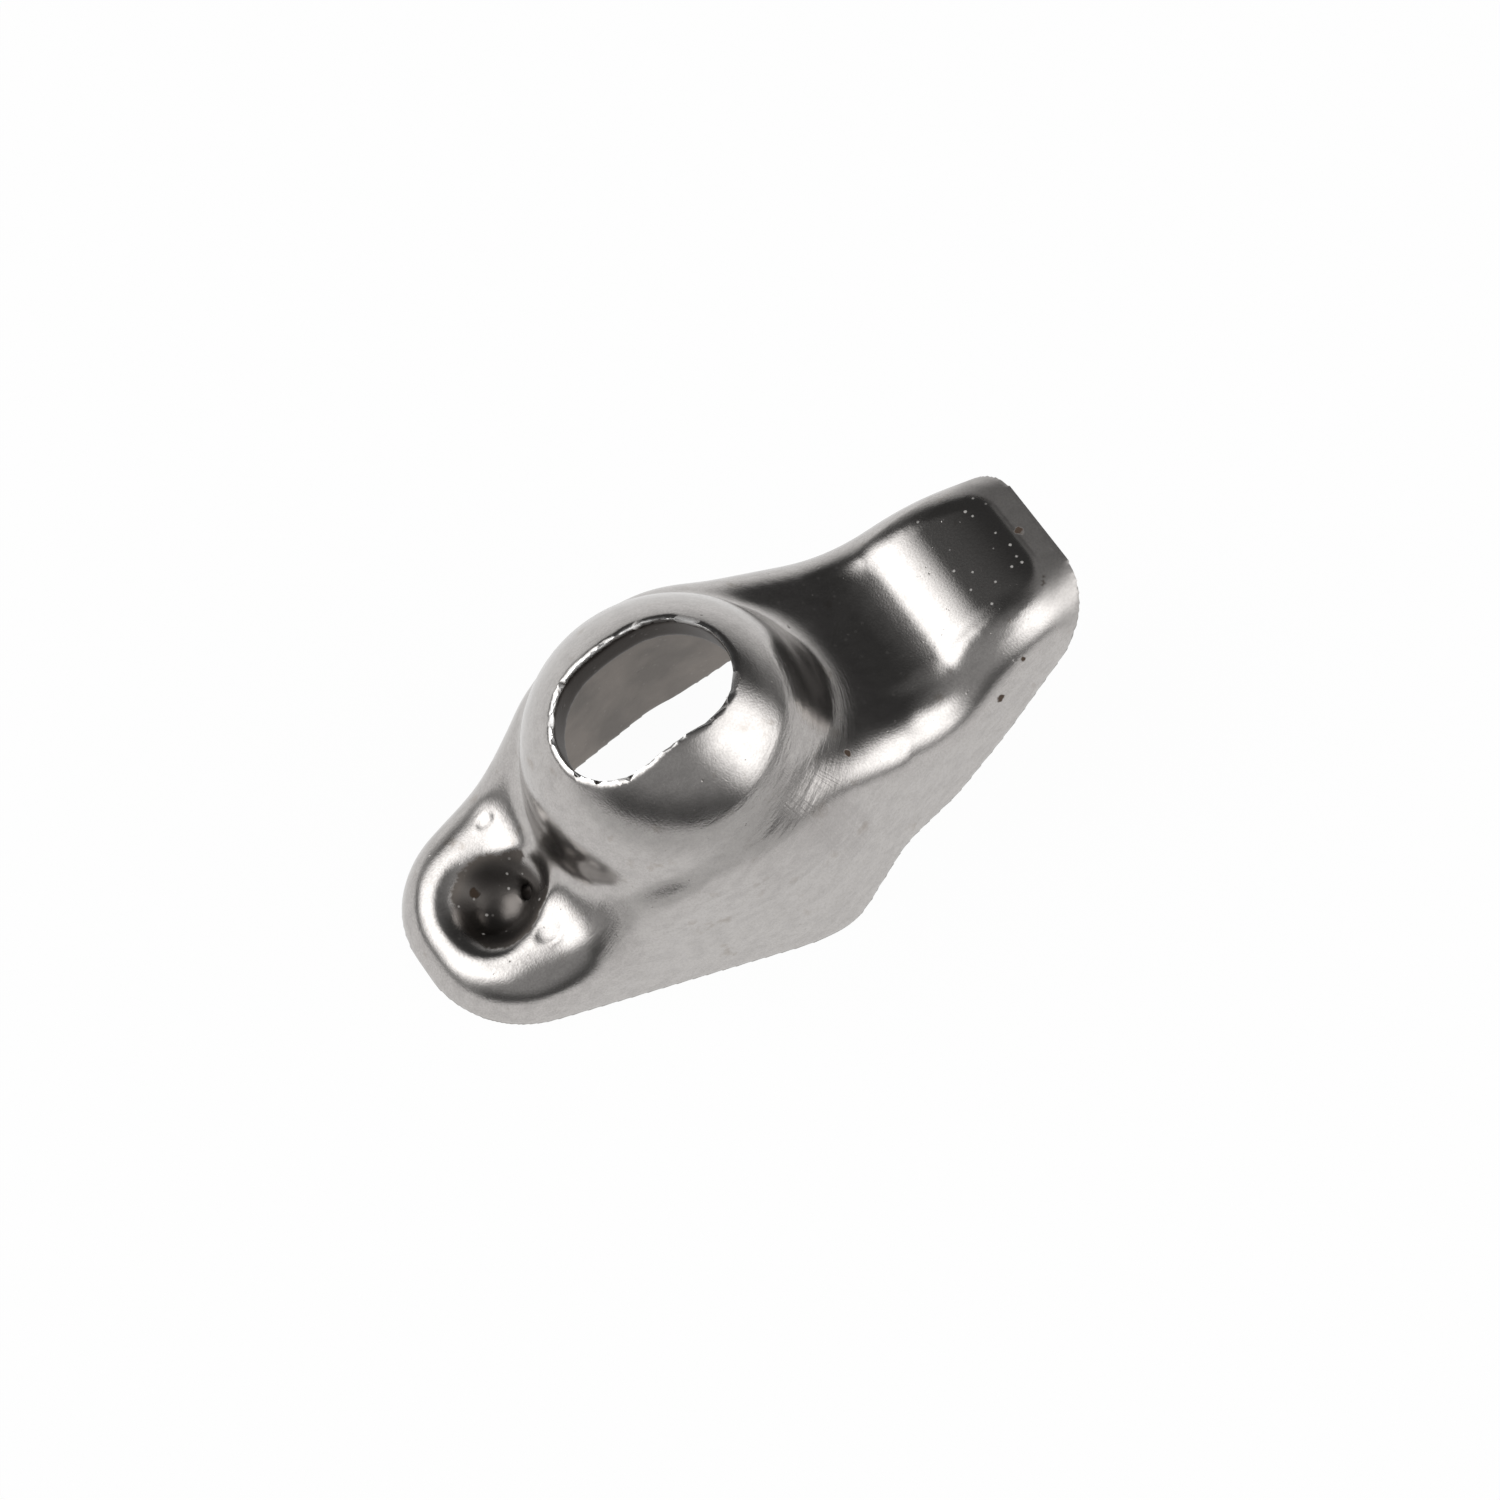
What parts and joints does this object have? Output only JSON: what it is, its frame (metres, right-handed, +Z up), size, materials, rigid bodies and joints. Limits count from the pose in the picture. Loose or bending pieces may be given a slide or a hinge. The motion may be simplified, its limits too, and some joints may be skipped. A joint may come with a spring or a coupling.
{
  "type": "stamped rocker arm",
  "caption": "Stamped steel ball-pivot rocker arm with a slotted dome for the stud, a pressed pushrod cup with an oil hole and a coined valve pad, lying on the straight half of its rim.",
  "frame": {"origin": "centre of the pivot ball that the domed socket rides on", "axes": "+X towards the valve pad along the floor, +Y across the arm, +Z up from the floor it lies on; the stud axis leans 20 degrees from +Z towards -X"},
  "size_m": [0.0703, 0.0352, 0.03],
  "materials": {
    "steel": "satin"
  },
  "bodies": {
    "root": {"rocker_arm": "steel"}
  },
  "joints": []
}
